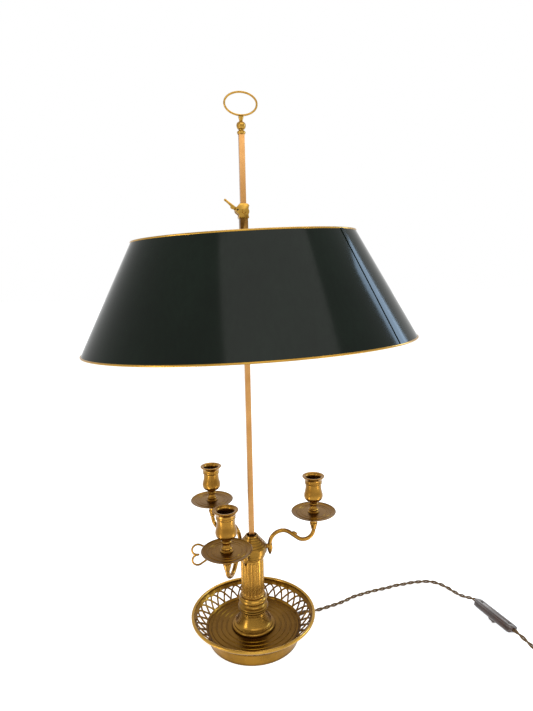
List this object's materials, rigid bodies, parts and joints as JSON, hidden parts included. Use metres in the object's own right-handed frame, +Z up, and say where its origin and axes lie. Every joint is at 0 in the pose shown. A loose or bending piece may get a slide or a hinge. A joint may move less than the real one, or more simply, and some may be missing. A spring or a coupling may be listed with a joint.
{
  "type": "bouillotte lamp",
  "caption": "Brass bouillotte lamp with a pierced dish base, a sliding candle branch locked by a heart key, and a sliding oval metal shade.",
  "frame": {"origin": "centre of the underside of the base, on the stem's axis, at the surface that the lamp stands on", "axes": "+Z up along the stem, +X towards the first candle arm, the heart key points to -X"},
  "size_m": [0.7569, 0.4253, 0.8374],
  "materials": {
    "aged_brass": "old polished brass, darkened in the hollows",
    "rubbed_brass": "brass rubbed bright by handling",
    "dark_brass": "dull brass with brown patina",
    "blackened_steel": "blackened steel",
    "ballast_iron": "rough cast iron",
    "green_felt": "dark green felt",
    "shade_paint": "glossy dark green paint outside, off-white paint inside",
    "holder_plastic": "dark brown moulded holder",
    "bulb_glass": "opal bulb",
    "cord_textile": "silky brown and gold twisted cord",
    "splice_plastic": "cream crimp",
    "brown_plastic": "dark brown moulded plastic",
    "plated_pins": "nickel plated"
  },
  "bodies": {
    "stand": {"base_dish": "aged_brass", "pierced_gallery": "aged_brass", "gallery_rim": "rubbed_brass", "base_ballast": "ballast_iron", "base_felt": "green_felt", "column_foot": "aged_brass", "fluted_column": "aged_brass", "square_stem": "dark_brass", "stem_washer": "blackened_steel", "stem_nut": "blackened_steel", "stem_knop": "rubbed_brass", "ring_handle": "rubbed_brass", "cluster_body": "dark_brass", "cluster_cap": "dark_brass", "cluster_screw": "blackened_steel", "side_tubes": "dark_brass", "lamp_holder_right": "holder_plastic", "lamp_holder_left": "holder_plastic", "lamp_bulb_right": "bulb_glass", "lamp_bulb_left": "bulb_glass", "inner_lead": "cord_textile", "lead_splice": "splice_plastic", "cord_gland": "rubbed_brass", "strain_relief": "brown_plastic", "power_cord": "cord_textile", "switch_base": "brown_plastic", "switch_cover": "brown_plastic", "switch_screws": "blackened_steel", "cord_tail": "cord_textile", "cord_coil": "cord_textile", "plug_body": "brown_plastic", "plug_pins": "plated_pins"},
    "candelabra": {"branch_collar": "aged_brass", "candle_arm_1": "aged_brass", "candle_arm_2": "aged_brass", "candle_arm_3": "aged_brass", "drip_pan_1": "aged_brass", "drip_pan_2": "aged_brass", "drip_pan_3": "aged_brass", "candle_cup_1": "aged_brass", "candle_cup_2": "aged_brass", "candle_cup_3": "aged_brass"},
    "shoe": {"brake_shoe": "rubbed_brass"},
    "key": {"heart_key": "aged_brass"},
    "shade": {"shade_sleeve": "dark_brass", "latch_casting": "rubbed_brass", "latch_pin": "blackened_steel", "latch_spring": "blackened_steel", "shade_carrier": "dark_brass", "carrier_nut": "dark_brass", "shade_shell": "shade_paint", "shade_top_rim": "rubbed_brass", "shade_bottom_rim": "rubbed_brass"},
    "lever": {"latch_lever": "rubbed_brass"},
    "rocker": {"switch_rocker": "brown_plastic"}
  },
  "joints": [
    {"name": "candelabra_slide", "type": "slide", "parent": "stand", "child": "candelabra", "axis": [0, 0, 1], "range_m": [0, 0.2]},
    {"name": "shoe_travel", "type": "slide", "parent": "candelabra", "child": "shoe", "axis": [-1, 0, 0], "range_m": [0, 0.0013]},
    {"name": "key_turn", "type": "hinge", "parent": "shoe", "child": "key", "pos_m": [-0.04, 0, 0.1504], "axis": [-1, 0, 0], "range_deg": [0, 450]},
    {"name": "shade_slide", "type": "slide", "parent": "stand", "child": "shade", "axis": [0, 0, 1], "range_m": [-0.06, 0.085]},
    {"name": "latch_lift", "type": "hinge", "parent": "shade", "child": "lever", "pos_m": [-0.0092, 0, 0.673], "axis": [0, 1, 0], "range_deg": [0, 25], "stiffness_Nm_per_rad": 0.06, "springref_deg": -14.32},
    {"name": "rocker_press", "type": "hinge", "parent": "stand", "child": "rocker", "pos_m": [0.39328, -0.06871, 0.01045], "axis": [-0.9479, -0.1265, 0.2924], "range_deg": [0, 16]}
  ],
  "couplings": [
    {"joint": "shoe_travel", "follows": "key_turn", "m_per_rad": 0.00015915}
  ]
}
